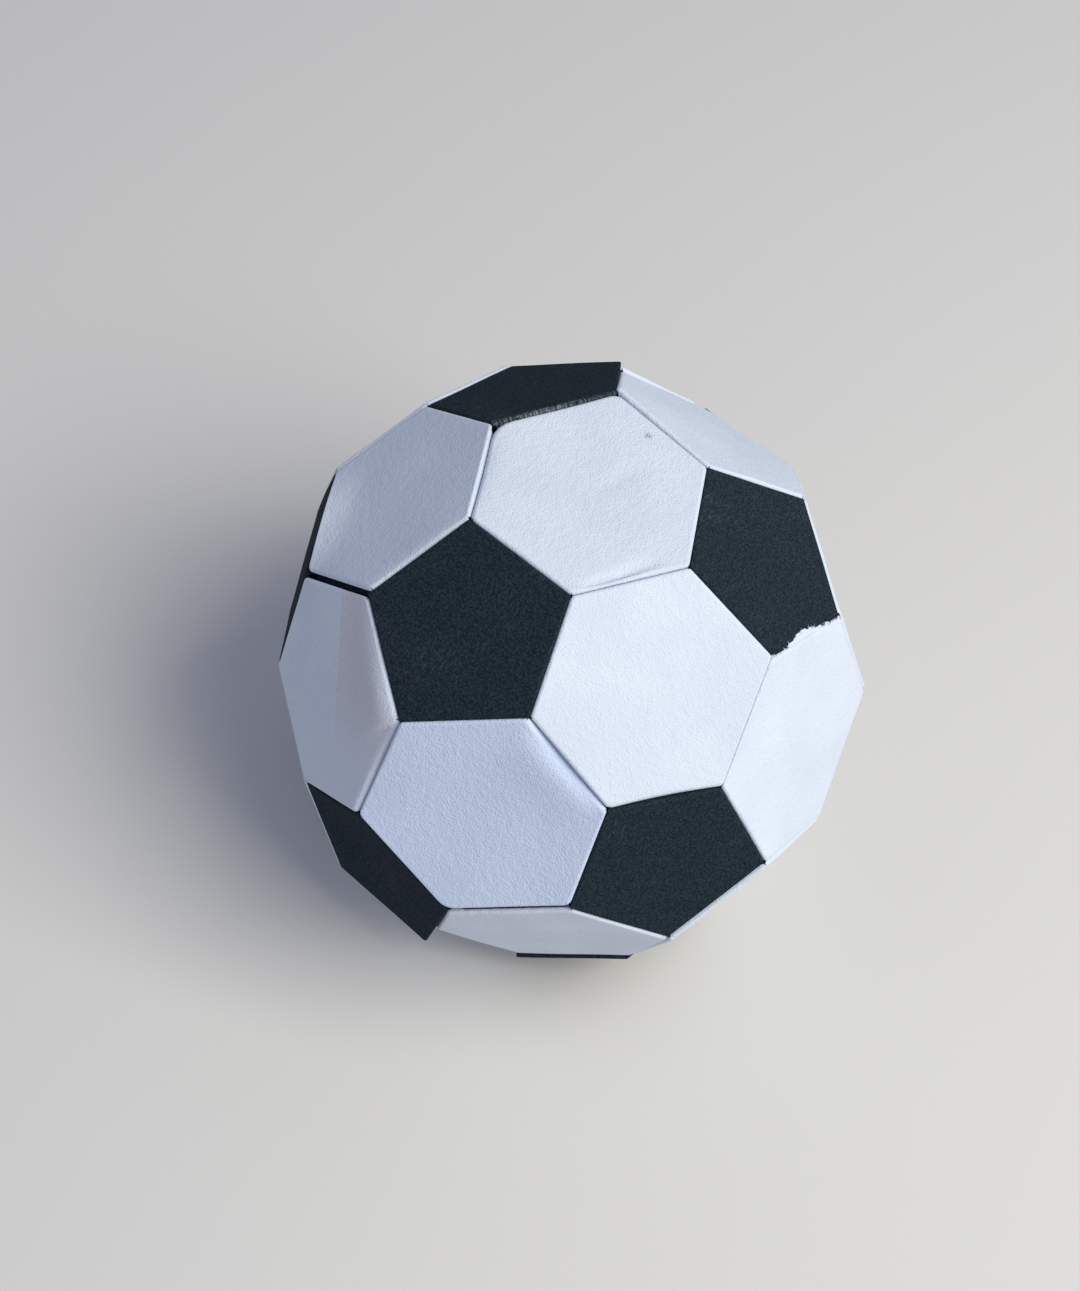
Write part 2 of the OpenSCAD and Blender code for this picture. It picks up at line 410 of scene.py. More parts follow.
def outward(node):
    """Outward direction of a unit's flat face: its largest polygon that looks away from the ball's middle."""
    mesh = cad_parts[node].data
    places = np.array([v.co for v in mesh.vertices])
    middle = unit_vector(places.mean(axis=0) - CENTRE)
    facing = [p for p in mesh.polygons if np.array(p.normal) @ middle > NEXT_HEXAGON]
    return unit_vector(np.array(max(facing, key=lambda p: p.area).normal))


PENTAGONS = sorted(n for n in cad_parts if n.startswith("black_pentagon"))
HEXAGONS = sorted(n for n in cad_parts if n.startswith("white_hexagon"))
TIPS = {i: outward(name) for i, name in enumerate(PENTAGONS, 1)}


class Unit:
    """One folded sheet: its node, its place, and the corners and neighbours round its face."""

    def __init__(self, key, node, normal):
        self.key = key
        self.node = node
        self.normal = normal
        self.corners = []
        self.neighbours = []

    def settle(self):
        """Works out the face's own axes and, in them, the direction and reach of each side."""
        places = np.array([corner_place(c) for c in self.corners])
        self.middle = places.mean(axis=0)
        self.across = unit_vector((places[0] + places[1]) / 2 - self.middle)
        self.along = np.cross(self.normal, self.across)
        flat = self.flatten(places)
        halfway = (flat + np.roll(flat, -1, axis=0)) / 2
        self.reach = np.linalg.norm(halfway, axis=1)
        self.directions = halfway / self.reach[:, None]
        self.flat_corners = flat

    def flatten(self, places):
        """Places in the ball, as two coordinates in the plane of the face."""
        away = places - self.middle
        return np.stack((away @ self.across, away @ self.along), axis=-1)

    def raise_up(self, flat, heights):
        """Flat coordinates and heights over the face, as places in the ball."""
        return (self.middle + flat[:, :1] * self.across + flat[:, 1:] * self.along
                + np.asarray(heights)[:, None] * self.normal)

    def beside(self, i, flat):
        """Where points lie beside a side: the share of its length, and how far inward of it they are."""
        corner = self.flat_corners[i]
        run = self.flat_corners[(i + 1) % len(self.corners)] - corner
        return ((flat - corner) @ run) / (run @ run), self.reach[i] - flat @ self.directions[i]

    def sides_in(self, table):
        """The sides that a table names, with their numbers, their neighbours and the table's values."""
        for i, neighbour in enumerate(self.neighbours):
            if (self.key, neighbour) in table:
                yield i, neighbour, table[self.key, neighbour]


def corner_place(corner):
    """True place of a corner: a third of the way from one tip of the ball to the next."""
    near, far = corner
    return CENTRE + TIP_RADIUS * (2 * TIPS[near] + TIPS[far]) / 3


def in_turn(corners, normal):
    """Corners of a face in their order round its outward normal."""
    away = {c: corner_place(c) - CENTRE for c in corners}
    first = away[corners[0]]
    start = unit_vector(first - normal * (first @ normal))
    side = np.cross(normal, start)
    return sorted(corners, key=lambda c: math.atan2(away[c] @ side, away[c] @ start))


def list_units():
    """All units by their key: a pentagon's number, or the numbers of the three pentagons round a hexagon."""
    units = {(i,): Unit((i,), name, TIPS[i]) for i, name in enumerate(PENTAGONS, 1)}
    for name in HEXAGONS:
        normal = outward(name)
        key = tuple(i for i, tip in TIPS.items() if normal @ tip > NEXT_HEXAGON)
        units[key] = Unit(key, name, normal)
    joined = [(i, j) for i in TIPS for j in TIPS if i != j and TIPS[i] @ TIPS[j] > NEXT_PENTAGON]
    for unit in units.values():
        single = len(unit.key) == 1
        own = [c for c in joined if (c[0] in unit.key if single else set(c) <= set(unit.key))]
        unit.corners = in_turn(own, unit.normal)
    for unit in units.values():
        for pair in zip(unit.corners, unit.corners[1:] + unit.corners[:1]):
            shared = [u for u in units.values() if u is not unit and set(pair) <= set(u.corners)]
            unit.neighbours.append(shared[0].key)
        unit.settle()
    return units


UNITS = list_units()


class PhotoCamera:
    """The photograph's camera in the ball's own axes."""

    def __init__(self, view):
        sa, ca = math.sin(view.azimuth), math.cos(view.azimuth)
        se, ce = math.sin(view.elevation), math.cos(view.elevation)
        self.forward = np.array((-sa * ce, ca * ce, -se))
        level = unit_vector(np.cross(self.forward, (0.0, 0.0, 1.0)))
        drop = np.cross(self.forward, level)
        self.right = math.cos(view.roll) * level + math.sin(view.roll) * drop
        self.down = math.cos(view.roll) * drop - math.sin(view.roll) * level
        x, y, z = view.place
        self.location = CENTRE - x * self.right - y * self.down - z * self.forward
        self.focal = view.focal
        self.middle = np.array((view.width, view.height)) / 2

    def shift_to(self, place, pixel):
        """The move, square to the line of sight, that brings a place onto a pixel."""
        away = place - self.location
        depth = away @ self.forward
        wanted = (np.array(pixel) - self.middle) * depth / self.focal
        return (wanted[0] - away @ self.right) * self.right + (wanted[1] - away @ self.down) * self.down

    def on_face(self, unit, pixel):
        """Flat coordinates of the point of a unit's face that a pixel shows."""
        x, y = (np.array(pixel) - self.middle) / self.focal
        ray = self.forward + x * self.right + y * self.down
        far = ((unit.middle - self.location) @ unit.normal) / (ray @ unit.normal)
        return unit.flatten(self.location + far * ray)

    def lines_on(self, unit, table):
        """The lines that a table draws on a unit by pixels: both ends on the face, and the other values."""
        for key, start, end, *values in table:
            if key == unit.key:
                yield self.on_face(unit, start), self.on_face(unit, end), *values


def mean_values(corners, points):
    """Shares of a polygon's corners at points in it, straight along each side and smooth within."""
    away = corners[None] - points[:, None]
    onward = np.roll(away, -1, axis=1)
    far = np.linalg.norm(away, axis=2)
    cross = away[..., 0] * onward[..., 1] - away[..., 1] * onward[..., 0]
    half = cross / (far * np.roll(far, -1, axis=1) + (away * onward).sum(axis=2))
    shares = (half + np.roll(half, 1, axis=1)) / far
    return shares / shares.sum(axis=1, keepdims=True)


class Handmade:
    """Draws the true ball into its handmade shape.

    Corners that the photograph shows go where they are seen, and the others stray a little.
    """

    def __init__(self, scene):
        self.hand = scene.paperball_hand
        self.camera = PhotoCamera(scene.paperball_view)
        draws = np.random.default_rng(self.hand.seed)
        self.shifts = {}
        for corner in sorted({c for u in UNITS.values() for c in u.corners}):
            place = corner_place(corner)
            stray = draws.normal(0.0, self.hand.stray, 3)
            out = unit_vector(place - CENTRE)
            self.shifts[corner] = stray - out * (stray @ out)
            if corner in CORNERS_SEEN:
                self.shifts[corner] = self.camera.shift_to(place, CORNERS_SEEN[corner])
            elif place[2] < CAD_LOW.z + MM:
                self.shifts[corner][2] = 0.0

    def shift(self, unit, corner):
        """The move of one corner of a unit, which may stand proud of its neighbours there."""
        own = PROUD_CORNERS.get(unit.key, {})
        if corner in own:
            return self.camera.shift_to(corner_place(corner), own[corner])
        return self.shifts[corner]

    def draw(self, unit, places):
        """Places of a unit, moved along with its corners."""
        moves = np.array([self.shift(unit, c) for c in unit.corners])
        return places + mean_values(unit.flat_corners, unit.flatten(places)) @ moves

    def spots(self, unit, *pixels):
        """Places on a unit's handmade face, by the pixels that show them on the true face."""
        flat = np.array([self.camera.on_face(unit, pixel) for pixel in pixels])
        return self.draw(unit, unit.raise_up(flat, np.zeros(len(flat))))


def either(table, unit, neighbour, default):
    """The table's value for a seam, whichever of its two units comes first."""
    return table.get((unit, neighbour), table.get((neighbour, unit), default))


def outline(directions, reaches, heights, cuts):
    """Points round a face whose sides lie at the given reaches and heights, with its corners cut round."""
    count = len(reaches)
    corners = [np.linalg.solve((directions[i - 1], directions[i]), (reaches[i - 1], reaches[i]))
               for i in range(count)]
    runs = [unit_vector(corners[(i + 1) % count] - corners[i]) for i in range(count)]
    share = np.linspace(0, 1, SIDE_STEPS + 1)[:, None]
    bend = np.linspace(0, 1, CORNER_STEPS + 1)[1:-1, None]
    points, levels = [], []
    for i in range(count):
        after = (i + 1) % count
        start = corners[i] + cuts[i] * runs[i]
        end = corners[after] - cuts[after] * runs[i]
        onward = corners[after] + cuts[after] * runs[after]
        points.append(start + share * (end - start))
        points.append((1 - bend) ** 2 * end + 2 * bend * (1 - bend) * corners[after] + bend ** 2 * onward)
        levels.append(np.full(SIDE_STEPS + 1, heights[i]))
        levels.append(heights[i] + bend[:, 0] * (heights[after] - heights[i]))
    return np.concatenate(points), np.concatenate(levels)


def waves(draws, flat, height):
    """Soft waves over a face: a few long ripples that run in random directions."""
    total = np.zeros(len(flat))
    for length in WAVE_LENGTHS:
        heading, phase = draws.uniform(0, 2 * math.pi, 2)
        run = flat @ (math.cos(heading), math.sin(heading))
        total += height * np.sin(2 * math.pi * run / length + phase)
    return total


def dent(flat, start, end, depth, half_width):
    """A soft trough between two points of a face, which fades towards its ends."""
    run = end - start
    share = ((flat - start) @ run) / (run @ run)
    aside = np.linalg.norm(flat - start - np.clip(share, 0, 1)[:, None] * run, axis=1)
    return -depth * np.exp(-(aside / half_width) ** 2) * np.clip(DENT_HOLD - 2 * abs(share - 0.5), 0, 1)


def shoulders(unit, flat):
    """Moves of a unit's points where its face swells and bends down softly towards a side.

    The side's fold and flap go along, on the plane of the seam.
    """
    moves = np.zeros((len(flat), 3))
    for i, neighbour, (width, drop, rise, most) in unit.sides_in(SHOULDERS):
        share, inward = unit.beside(i, flat)
        inward = np.clip(inward / width, 0, None)
        height = rise * inward * np.exp((1 - inward ** 2) / 2) - drop * np.clip(1 - inward, 0, None) ** 2
        height *= np.sin(math.pi * np.clip(share, 0, 1) ** (math.log(0.5) / math.log(most)))
        moves += height[:, None] * unit_vector(unit.normal + UNITS[neighbour].normal)
    return moves


def curls(unit, camera, flat):
    """Moves of a unit's points beside a curled side: towards the camera, so it stays where it is seen."""
    moves = np.zeros((len(flat), 3))
    for i, _, (width, rise) in unit.sides_in(CURLED_SIDES):
        share, inward = unit.beside(i, flat)
        inward = np.clip(inward / width, 0, 1)
        ends = np.clip(np.sin(math.pi * np.clip(share, 0, 1)), 0, 1)
        height = rise * (1 - inward) ** CURL_BEND * ends ** CURL_ENDS
        moves += height[:, None] * camera.forward / (camera.forward @ unit.normal)
    return moves


def fading(share):
    """How strongly a crease shows along its length: fully at first, then less and less."""
    return np.clip(2 - 2 * share, 0, 1)


def crease(flat, start, end, drop, reach):
    """A sharp bend along a line of a face: beyond the line, on its right, the paper leans down."""
    run = unit_vector(end - start)
    aside = (flat - start) @ (-run[1], run[0])
    share = ((flat - start) @ run) / np.linalg.norm(end - start)
    return -drop * np.clip(aside / reach, 0, 1) * fading(share)


def relief(unit, paper, draws, camera, flat):
    """Height of the soft unevenness of a face: waves, dents and creases.

    The hexagon that the ball stands on and the three hexagons beside it have none.
    """
    if unit.normal[2] < -NEXT_HEXAGON and len(unit.key) == 3:
        return np.zeros(len(flat))
    total = waves(draws, flat, paper.wave)
    for line in camera.lines_on(unit, DENTS):
        total += dent(flat, *line)
    for line in camera.lines_on(unit, CREASES):
        total += crease(flat, *line)
    return total


def wear_and_crease_shade_of(unit, camera, flat):
    """How worn a unit's face is beside a worn fold, and how much painted shade a crease gets, except where
    the face swells.
    """
    total = np.zeros(len(flat))
    for i, _, (width, most) in unit.sides_in(WORN_FOLDS):
        share, inward = unit.beside(i, flat)
        across = np.clip(WEAR_ACROSS - WEAR_FADE * inward / width, 0, 1)
        total += across * np.clip(WEAR_ALONG - 2 * abs(share - most), LEAST_WEAR, 1)
    # Painted shade along a crease, taken out where the face swells
    for start, end, _, _ in camera.lines_on(unit, CREASES):
        total += fading(((flat - start) @ (end - start)) / ((end - start) @ (end - start)))
        for i, _, (width, _, rise, _) in unit.sides_in(SHOULDERS):
            if rise > 0:
                _, inward = unit.beside(i, flat)
                total *= np.clip(inward / width, 0, 1)
    return total


class Sheet:
    """The outer skin of one folded unit: rings of points from its middle out, then rows down its flaps."""

    def __init__(self, unit, paper, handmade):
        self.unit = unit
        self.ring = len(unit.corners) * PER_SIDE
        self.flat, self.heights, self.uneven = [], [], []
        self.faces = []
        hand, camera = handmade.hand, handmade.camera
        self.half = [self.half_angle(n) for n in unit.neighbours]
        self.radius = [FOLD_RADII.get((unit.key, n), paper.fold_radius) for n in unit.neighbours]
        gaps = [either(GAPING_SEAMS, unit.key, n, hand.seam_gap) for n in unit.neighbours]
        rims = [r - g / 2 / math.sin(h) for r, g, h in zip(unit.reach, gaps, self.half)]
        self.fold = [w - r / math.tan(h / 2) for w, r, h in zip(rims, self.radius, self.half)]
        self.cuts = [ROUND_CORNERS.get((unit.key, c), paper.corner_cut) for c in unit.corners]
        self.add_face()
        self.add_folds()
        self.add_flaps(paper, hand)
        flat = np.concatenate(self.flat)
        draws = np.random.default_rng((hand.seed, *unit.key))
        uneven = relief(unit, paper, draws, camera, flat) * np.concatenate(self.uneven)
        places = unit.raise_up(flat, np.concatenate(self.heights) + uneven + paper.lift)
        self.places = handmade.draw(unit, places + shoulders(unit, flat)) + curls(unit, camera, flat)
        self.places[:, 2] = np.maximum(self.places[:, 2], CAD_LOW.z)
        self.wear_and_crease_shade = wear_and_crease_shade_of(unit, camera, flat)

    def half_angle(self, neighbour):
        """Half the angle of the seam with a neighbour."""
        return (math.pi - math.acos(self.unit.normal @ UNITS[neighbour].normal)) / 2

    def add_row(self, flat, heights, uneven):
        """Keeps a row of points, their heights and share of the unevenness, and says where it starts."""
        start = sum(len(f) for f in self.flat)
        self.flat.append(flat)
        self.heights.append(np.broadcast_to(heights, len(flat)).astype(float))
        self.uneven.append(np.full(len(flat), uneven, float))
        return start

    def join(self, inner, outer, skip=()):
        """Quads between two rings, without the columns to skip."""
        for i in range(self.ring):
            if i not in skip:
                j = (i + 1) % self.ring
                self.faces.append((inner + i, outer + i, outer + j, inner + j))

    def add_face(self):
        """The flat face: rings from the middle to the fold lines, closer together towards the folds."""
        rim, _ = outline(self.unit.directions, self.fold, np.zeros(len(self.fold)), self.cuts)
        self.add_row(np.zeros((1, 2)), 0, 1)
        for k in range(1, FACE_RINGS + 1):
            start = self.add_row(rim * math.sin(math.pi / 2 * k / FACE_RINGS), 0, 1)
            if k > 1:
                self.join(start - self.ring, start)
        for i in range(self.ring):
            self.faces.append((0, 1 + i, 1 + (i + 1) % self.ring))

    def add_folds(self):
        """The rounded folds: rings that follow the turn of the paper. The snips open half way down."""
        snips = {i * PER_SIDE + SIDE_STEPS + CORNER_STEPS // 2 for i in range(len(self.half))}
        for k in range(1, FOLD_STEPS + 1):
            share = k / FOLD_STEPS
            angles = [share * (math.pi - h) for h in self.half]
            reaches = [f + r * math.sin(a) for f, r, a in zip(self.fold, self.radius, angles)]
            heights = [r * (math.cos(a) - 1) for r, a in zip(self.radius, angles)]
            flat, levels = outline(self.unit.directions, reaches, heights, self.cuts)
            start = self.add_row(flat, levels, 1 - share)
            self.join(start - self.ring, start, snips if 2 * k > FOLD_STEPS else ())
        self.root_start = start

    def add_flaps(self, paper, hand):
        """The glue flaps: rows that go down the seam from each fold, with trimmed ends."""
        root_flat, root_heights = self.flat[-1], self.heights[-1]
        for i, half in enumerate(self.half):
            first = i * PER_SIDE
            flat, level = root_flat[first:first + SIDE_STEPS + 1], root_heights[first]
            middle = (flat[0] + flat[-1]) / 2
            length = np.linalg.norm(flat[-1] - flat[0]) / 2
            above = self.root_start + first
            for k in range(1, FLAP_ROWS + 1):
                down = paper.flap_depth * k / FLAP_ROWS
                narrow = 1 - down * math.tan(hand.flap_trim) / length
                row = middle + (flat - middle) * narrow - self.unit.directions[i] * down * math.cos(half)
                below = self.add_row(row, level - down * math.sin(half), 0)
                for c in range(SIDE_STEPS):
                    self.faces.append((above + c, below + c, below + c + 1, above + c + 1))
                above = below


class Seam:
    """One seam of a unit, in the handmade ball: points beside it, given along it, across it and above it."""

    def __init__(self, unit, neighbour, handmade):
        i = unit.neighbours.index(neighbour)
        first, last = unit.corners[i], unit.corners[(i + 1) % len(unit.corners)]
        self.start = corner_place(first) + handmade.shifts[first]
        self.end = corner_place(last) + handmade.shifts[last]
        self.length = np.linalg.norm(self.end - self.start)
        self.normals = unit.normal, UNITS[neighbour].normal
        middle = (corner_place(first) + corner_place(last)) / 2
        self.ways = unit_vector(unit.middle - middle), unit_vector(UNITS[neighbour].middle - middle)

    def place(self, share, across, above):
        """A point at a share of the seam's length, on the unit (across is below 0) or on the neighbour."""
        side = int(across > 0)
        on = self.start + share * (self.end - self.start)
        up = unit_vector(self.normals[0] + self.normals[1]) if across == 0 else self.normals[side]
        return on + abs(across) * self.ways[side] + above * up


def uneven_line(draws, steps, length, spacing):
    """Smooth random values from -1 to 1 along a line, with a new draw at each spacing."""
    knots = draws.uniform(-1, 1, int(length / spacing) + 2)
    return np.interp(np.linspace(0, length / spacing, steps), np.arange(len(knots)), knots)


def quads(rows, columns, there):
    """Quads between rows of points, where both of their columns are there."""
    return [(r * columns + c, (r + 1) * columns + c, (r + 1) * columns + c + 1, r * columns + c + 1)
            for r in range(rows - 1) for c in range(columns - 1) if {c, c + 1} <= there]


def paper_object(name, places, faces, wear_and_crease_shade, material, thickness):
    """A thin sheet of paper with its outer skin at the given places."""
    mesh = bpy.data.meshes.new(name)
    mesh.from_pydata([tuple(p) for p in places], [], faces)
    mesh.validate()
    mesh.update()
    mesh.polygons.foreach_set("use_smooth", np.ones(len(mesh.polygons), bool))
    uses = {}
    for polygon in mesh.polygons:
        for key in polygon.edge_keys:
            uses[key] = uses.get(key, 0) + 1
    for edge in mesh.edges:
        edge.use_edge_sharp = uses.get(edge.key, 0) < 2
    mesh.attributes.new(WEAR_AND_CREASE_SHADE, "FLOAT", "POINT").data.foreach_set("value", np.asarray(wear_and_crease_shade, np.float32))
    mesh.materials.append(material)
    thing = bpy.data.objects.new(name, mesh)
    bpy.context.scene.collection.objects.link(thing)
    body = thing.modifiers.new("Thickness", "SOLIDIFY")
    body.thickness = thickness
    body.offset = -1
    return thing


class PaperMaterial:
    """A paper material in the making: its shader, and the coordinates and the mask of worn paper and painted
    crease shade that textures share.
    """

    def __init__(self, name, paper):
        self.material = bpy.data.materials.new(name)
        self.material.use_nodes = True
        self.tree = self.material.node_tree
        self.shader = self.tree.nodes["Principled BSDF"]
        self.shader.inputs["Roughness"].default_value = paper.roughness
        self.shader.inputs["Specular IOR Level"].default_value = paper.sheen
        self.coordinates = self.add("ShaderNodeTexCoord").outputs["Object"]
        self.wear_and_crease_shade = self.add("ShaderNodeAttribute", attribute_name=WEAR_AND_CREASE_SHADE).outputs["Fac"]

    def add(self, kind, **values):
        """A node in the next place of the rows beside the shader, with sockets or settings set by name."""
        node = self.tree.nodes.new(kind)
        row, column = divmod(len(self.tree.nodes), NODES_IN_ROW)
        node.location = ((column - NODES_IN_ROW) * NODE_WIDTH, -row * NODE_HEIGHT)
        for name, value in values.items():
            if name in node.inputs:
                node.inputs[name].default_value = value
            else:
                setattr(node, name, value)
        return node

    def noise(self, size, detail, coordinates=None):
        """Soft noise with spots of the given size."""
        node = self.add("ShaderNodeTexNoise", Scale=1 / size, Detail=detail)
        self.tree.links.new(coordinates or self.coordinates, node.inputs["Vector"])
        return node.outputs["Fac"]

    def between(self, value, low, high):
        """A value stretched so that low becomes 0 and high becomes 1."""
        node = self.add("ShaderNodeMapRange")
        node.inputs["From Min"].default_value = low
        node.inputs["From Max"].default_value = high
        self.tree.links.new(value, node.inputs["Value"])
        return node.outputs["Result"]

    def pattern(self, size, detail, low, high, coordinates=None):
        """Soft noise, stretched so that low becomes 0 and high becomes 1."""
        return self.between(self.noise(size, detail, coordinates), low, high)

    def measure(self, operation, vector):
        """A number worked out from the coordinates and a fixed vector, such as their distance."""
        node = self.add("ShaderNodeVectorMath", operation=operation)
        node.inputs[1].default_value = vector
        self.tree.links.new(self.coordinates, node.inputs[0])
        return node.outputs["Value"]

    def math(self, operation, first, second):
        """One step of arithmetic on two values, of which the second may be a number."""
        node = self.add("ShaderNodeMath", operation=operation)
        self.tree.links.new(first, node.inputs[0])
        if isinstance(second, (int, float)):
            node.inputs[1].default_value = second
        else:
            self.tree.links.new(second, node.inputs[1])
        return node.outputs[0]

    def mix(self, share, first, second):
        """A colour between two others, each a socket or three numbers."""
        node = self.add("ShaderNodeMix", data_type="RGBA")
        self.tree.links.new(share, node.inputs[0])
        for socket, colour in ((node.inputs[6], first), (node.inputs[7], second)):
            if isinstance(colour, bpy.types.NodeSocket):
                self.tree.links.new(colour, socket)
            else:
                socket.default_value = (*colour, 1)
        return node.outputs[2]

    def finish(self, colour, bump, paper):
        """Links the colour and the bump to the shader."""
        node = self.add("ShaderNodeBump", Strength=paper.tooth, Distance=paper.tooth_height)
        self.tree.links.new(bump, node.inputs["Height"])
        self.tree.links.new(node.outputs["Normal"], self.shader.inputs["Normal"])
        self.tree.links.new(colour, self.shader.inputs["Base Color"])
        return self.material


def white_paper_material(name, paper, tones, handmade):
    """Matte white paper: fine tooth, faint mottling, a few grey marks, one of them painted shade in a nick,
    and painted shade beyond a crease.
    """
    made = PaperMaterial(name, paper)
    colour = made.mix(made.pattern(*WHITE_MOTTLING), *tones)
    ragged = made.pattern(*RAGGED_MARKS)
    # Grey marks, one of them painted shade in a small nick
    for key, pixel, radius in MARKS_AND_NICK_SHADE:
        spot, = handmade.spots(UNITS[key], pixel)
        near = made.between(made.measure("DISTANCE", spot), radius, MARK_CORE * radius)
        colour = made.mix(made.math("MULTIPLY", near, ragged), colour, paper.mark)
    # Painted shade on the paper beyond each crease
    for key, start, end, _, _ in CREASES:
        first, last = handmade.spots(UNITS[key], start, end)
        aside = unit_vector(np.cross(UNITS[key].normal, last - first))
        line = aside @ first
        beyond = made.between(made.measure("DOT_PRODUCT", aside), line, line + CREASE_SHADE_EDGE)
        colour = made.mix(made.math("MULTIPLY", beyond, made.wear_and_crease_shade), colour, paper.painted_crease_shade)
    tooth = made.noise(paper.grain, WHITE_TOOTH_DETAIL)
    pulp = made.noise(PULP_IN_GRAINS * paper.grain, PULP_DETAIL)
    return made.finish(colour, made.math("ADD", tooth, pulp), paper)


def black_paper_material(paper):
    """Matte black paper: mottling, a few pale scratches in patches, and grey strokes where a fold is worn."""
    made = PaperMaterial("folded_black_paper", paper)
    tooth = made.noise(paper.grain, BLACK_TOOTH_DETAIL)
    colour = made.mix(made.between(tooth, *BLACK_MOTTLING), paper.colour, paper.shade)
    lay = made.add("ShaderNodeMapping", Rotation=paper.scratch_turn, Scale=SCRATCH_STRETCH)
    made.tree.links.new(made.coordinates, lay.inputs["Vector"])
    streaks = made.pattern(*SCRATCH_STREAKS, lay.outputs["Vector"])
    scratches = made.math("MULTIPLY", streaks, made.pattern(*SCRATCHED_PATCHES))
    colour = made.mix(made.math("MULTIPLY", scratches, paper.scratches), colour, paper.fibre)
    for key, neighbour in WORN_FOLDS:
        unit = UNITS[key]
        away = unit.directions[unit.neighbours.index(neighbour)]
        along = made.measure("DOT_PRODUCT", unit.along * away[0] - unit.across * away[1])
        size, detail, low, high = WORN_STROKES
        strokes = made.add("ShaderNodeTexNoise", noise_dimensions="1D", Scale=1 / size, Detail=detail)
        made.tree.links.new(along, strokes.inputs["W"])
        hatched = made.between(strokes.outputs["Fac"], low, high)
        scuffs = made.math("MULTIPLY", hatched, made.pattern(*DRY_PATCHES))
        colour = made.mix(made.math("MULTIPLY", made.wear_and_crease_shade, scuffs), colour, paper.fibre)
    return made.finish(colour, tooth, paper)


def keep_piece(piece, slot, *nodes):
    """Ties a piece to the ball's body and hides the nodes that it stands for. The slot is not used."""
    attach(piece, BODY)
    if nodes:
        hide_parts(*nodes)


def fold_units(materials, paper, slot, handmade):
    """Folds the units that have a material, each from one sheet that stands for its node."""
    for key, material in materials.items():
        unit = UNITS[key]
        sheet = Sheet(unit, paper, handmade)
        skin = sheet.places, sheet.faces, sheet.wear_and_crease_shade
        keep_piece(paper_object(f"{unit.node}_sheet", *skin, material, paper.thickness), slot, unit.node)


class PAPERBALL_OT_white_hexagons(bpy.types.Operator):
    """Folds the twenty white hexagon units."""

    bl_idname = "paperball.white_hexagons"
    bl_label = "White hexagons"

    def execute(self, context):
        handmade = Handmade(context.scene)
        paper = context.scene.paperball_white
        plain = white_paper_material("folded_white_paper", paper, (paper.colour, paper.shade), handmade)
        bluest_tones = paper.bluest, paper.bluest_shade
        bluest = white_paper_material("folded_bluest_paper", paper, bluest_tones, handmade)
        materials = {key: bluest if key == BLUEST_SHEET else plain for key in UNITS if len(key) == 3}
        fold_units(materials, paper, "white_paper", handmade)
        return {"FINISHED"}


class PAPERBALL_OT_black_pentagons(bpy.types.Operator):
    """Folds the twelve black pentagon units."""

    bl_idname = "paperball.black_pentagons"
    bl_label = "Black pentagons"

    def execute(self, context):
        paper = context.scene.paperball_black
        material = black_paper_material(paper)
        materials = {key: material for key in UNITS if len(key) == 1}
        fold_units(materials, paper, "black_paper", Handmade(context.scene))
        return {"FINISHED"}


class PAPERBALL_OT_torn_edge(bpy.types.Operator):
    """Frays the torn edge between a black and a white unit."""

    bl_idname = "paperball.torn_edge"
    bl_label = "Torn edge"

    def execute(self, context):
        handmade = Handmade(context.scene)
        hand = handmade.hand
        key, neighbour = TORN_EDGE
        seam = Seam(UNITS[key], neighbour, handmade)
        draws = np.random.default_rng(hand.seed)
        shares = np.linspace(TORN_FROM, TORN_TO, LIP_STEPS)
        ragged = sum(LIP_RAGGED * uneven_line(draws, LIP_STEPS, seam.length, s) for s in RAGGED_SPACINGS)
        edge = hand.lip * (LIP_MEAN + ragged)
        edge -= hand.bite * np.exp(-((shares - hand.bite_place) / hand.bite_spread) ** 2)
        for tone, way in (("black", 1), ("white", -1)):
            skin = self.skin(seam, shares, edge, way, hand, draws)
            material = bpy.data.materials[f"folded_{tone}_paper"]
            piece = paper_object(f"torn_edge_{tone}", *skin, material, hand.lip_thickness)
            keep_piece(piece, f"{tone}_paper")
        return {"FINISHED"}

    def skin(self, seam, shares, edge, way, hand, draws):
        """A thin ragged skin from one unit over the seam to the given edge on the other, with loose fibres.

        The way is 1 for a skin from the black unit over the white one, and -1 for the other way round. The
        skin is left out where the edge lies on the wrong side.
        """
        there = {c for c in range(LIP_STEPS) if way * edge[c] > 0}
        sunk = -hand.torn_sink
        back, over = (sunk, SKIN_ON_WHITE) if way > 0 else (0.0, sunk / 2)
        rows = [
            [seam.place(s, -2 * way * hand.lip, back - SKIN_TUCK) for s in shares],
            [seam.place(s, -way * hand.lip, back + SKIN_ON_OWN) for s in shares],
            [seam.place(s, 0, SKIN_ON_SEAM + sunk / 2) for s in shares],
            [seam.place(s, e / 2, over) for s, e in zip(shares, way * abs(edge))],
            [seam.place(s, e, over) for s, e in zip(shares, way * abs(edge))],
        ]
        places = [p for row in rows for p in row]
        faces = [quad[::way] for quad in quads(len(rows), LIP_STEPS, there)]
        width = hand.fibre_width / seam.length
        for c in draws.choice(sorted(there), hand.fibres):
            long, lean, rise = draws.uniform(FIBRE_LEAST, FIBRE_MOST)
            first = len(places)
            places += [
                seam.place(shares[c], edge[c] / 2, over),
                seam.place(shares[c] + width, edge[c] / 2, over),
                seam.place(shares[c] + lean, edge[c] + way * long, over + rise),
            ]
            faces.append((first, first + 1, first + 2)[::way])
        return places, faces, np.zeros(len(places))


